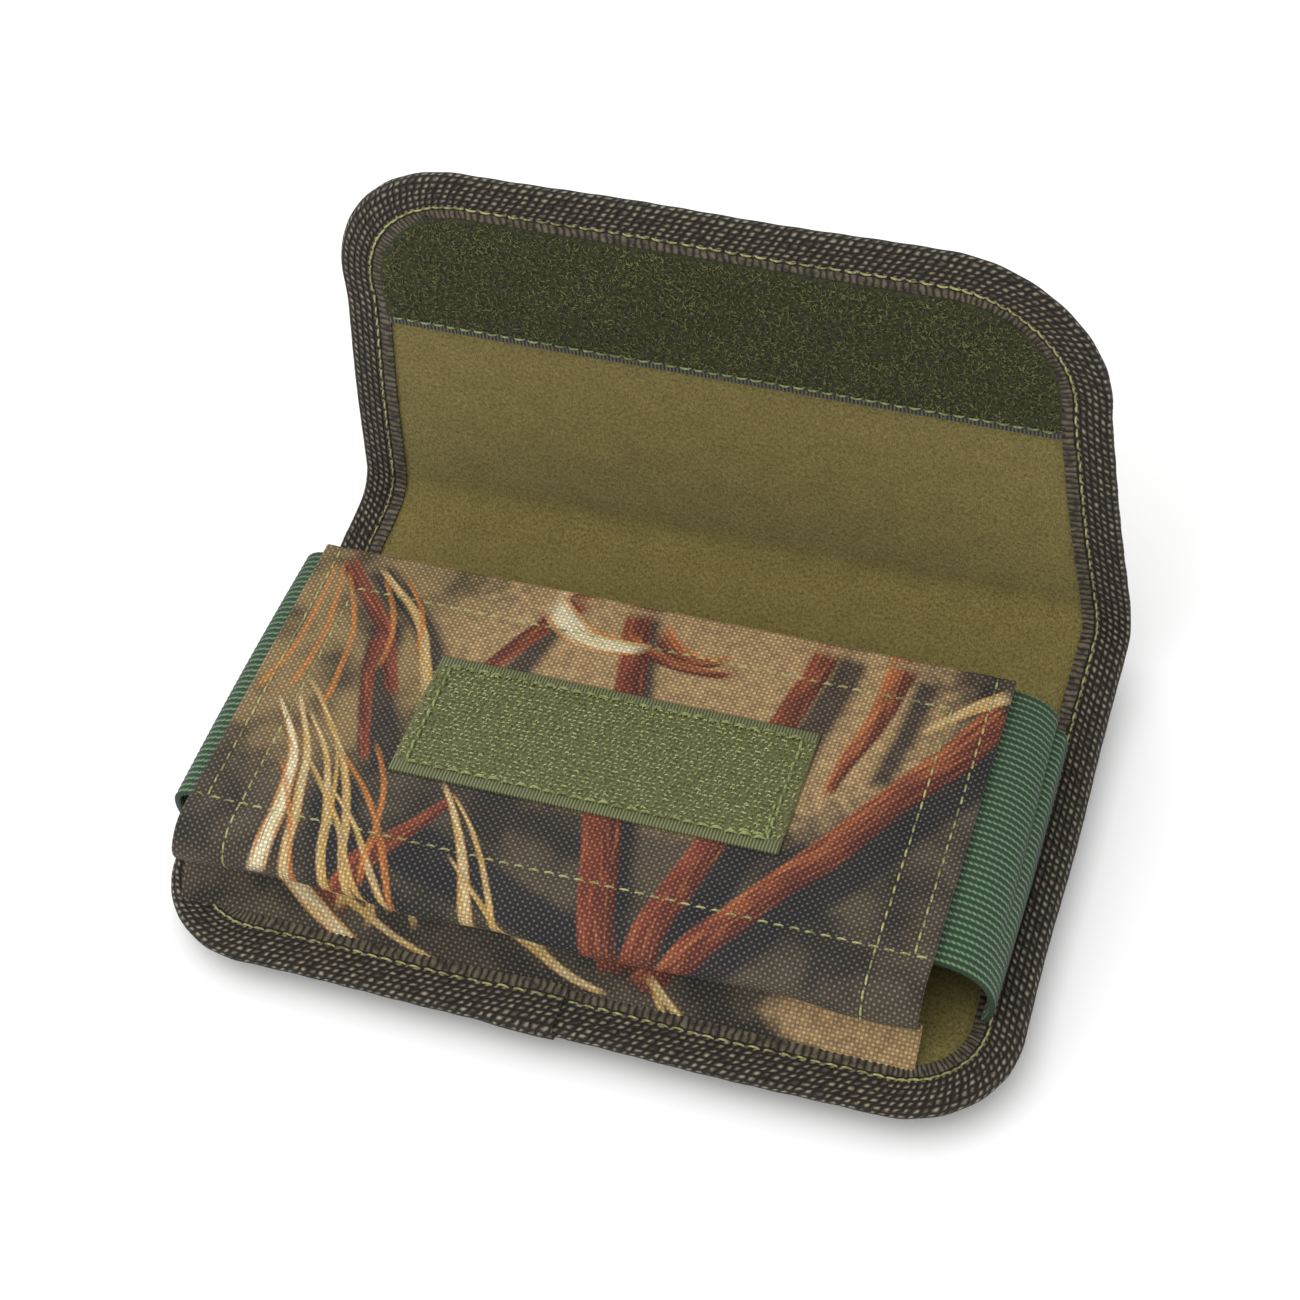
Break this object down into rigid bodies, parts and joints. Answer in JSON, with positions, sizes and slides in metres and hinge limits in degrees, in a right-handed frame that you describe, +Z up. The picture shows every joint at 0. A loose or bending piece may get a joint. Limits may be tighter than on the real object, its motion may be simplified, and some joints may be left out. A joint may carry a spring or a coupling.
{
  "type": "belt phone pouch",
  "caption": "Horizontal belt pouch for a phone, in reed-camouflage cloth, with a folding stiffened flap, hook-and-loop closure, elastic side gussets and belt loops.",
  "frame": {"origin": "bottom centre of the bounding box as it lies open on its belt loops", "axes": "+X along the width, +Y from the bottom edge towards the spine, +Z up"},
  "size_m": [0.174, 0.1288, 0.1048],
  "materials": {
    "printed_cloth": "coarse woven polyester, printed",
    "board": "plain stiffener",
    "lining": "brushed velvety",
    "binding_tape": "coarse woven tape",
    "elastic": "ribbed elastic",
    "hook_tape": "woven tape with fine hooks",
    "loop_pile": "brushed pile",
    "webbing": "woven webbing",
    "thread": "polyester thread"
  },
  "bodies": {
    "pouch": {"back_cloth": "printed_cloth", "back_board": "board", "back_lining": "lining", "back_binding": "binding_tape", "back_binding_thread": "thread", "gusset_left": "elastic", "gusset_right": "elastic", "bottom_wall": "printed_cloth", "belt_loop_left": "webbing", "belt_loop_right": "webbing", "belt_tack_left_lower": "thread", "belt_tack_left_upper": "thread", "belt_tack_right_lower": "thread", "belt_tack_right_upper": "thread", "front_cloth": "printed_cloth", "front_board": "board", "front_lining": "lining", "front_thread": "thread", "hook_patch": "hook_tape", "hook_patch_thread": "thread"},
    "spine": {"spine_cloth": "printed_cloth", "spine_board": "board", "spine_lining": "lining", "spine_binding_left": "binding_tape", "spine_binding_right": "binding_tape", "spine_thread_left": "thread", "spine_thread_right": "thread"},
    "flap": {"flap_cloth": "printed_cloth", "flap_board": "board", "flap_lining": "lining", "flap_binding": "binding_tape", "flap_binding_thread": "thread", "loop_strip": "loop_pile", "loop_strip_thread": "thread"}
  },
  "joints": [
    {"name": "spine_fold", "type": "hinge", "parent": "pouch", "child": "spine", "pos_m": [0, 0.03655, 0.0072], "axis": [1, 0, 0], "range_deg": [-10, 80]},
    {"name": "flap_fold", "type": "hinge", "parent": "spine", "child": "flap", "pos_m": [0, 0.06265, 0.0118], "axis": [1, 0, 0], "range_deg": [-80, 10]}
  ]
}
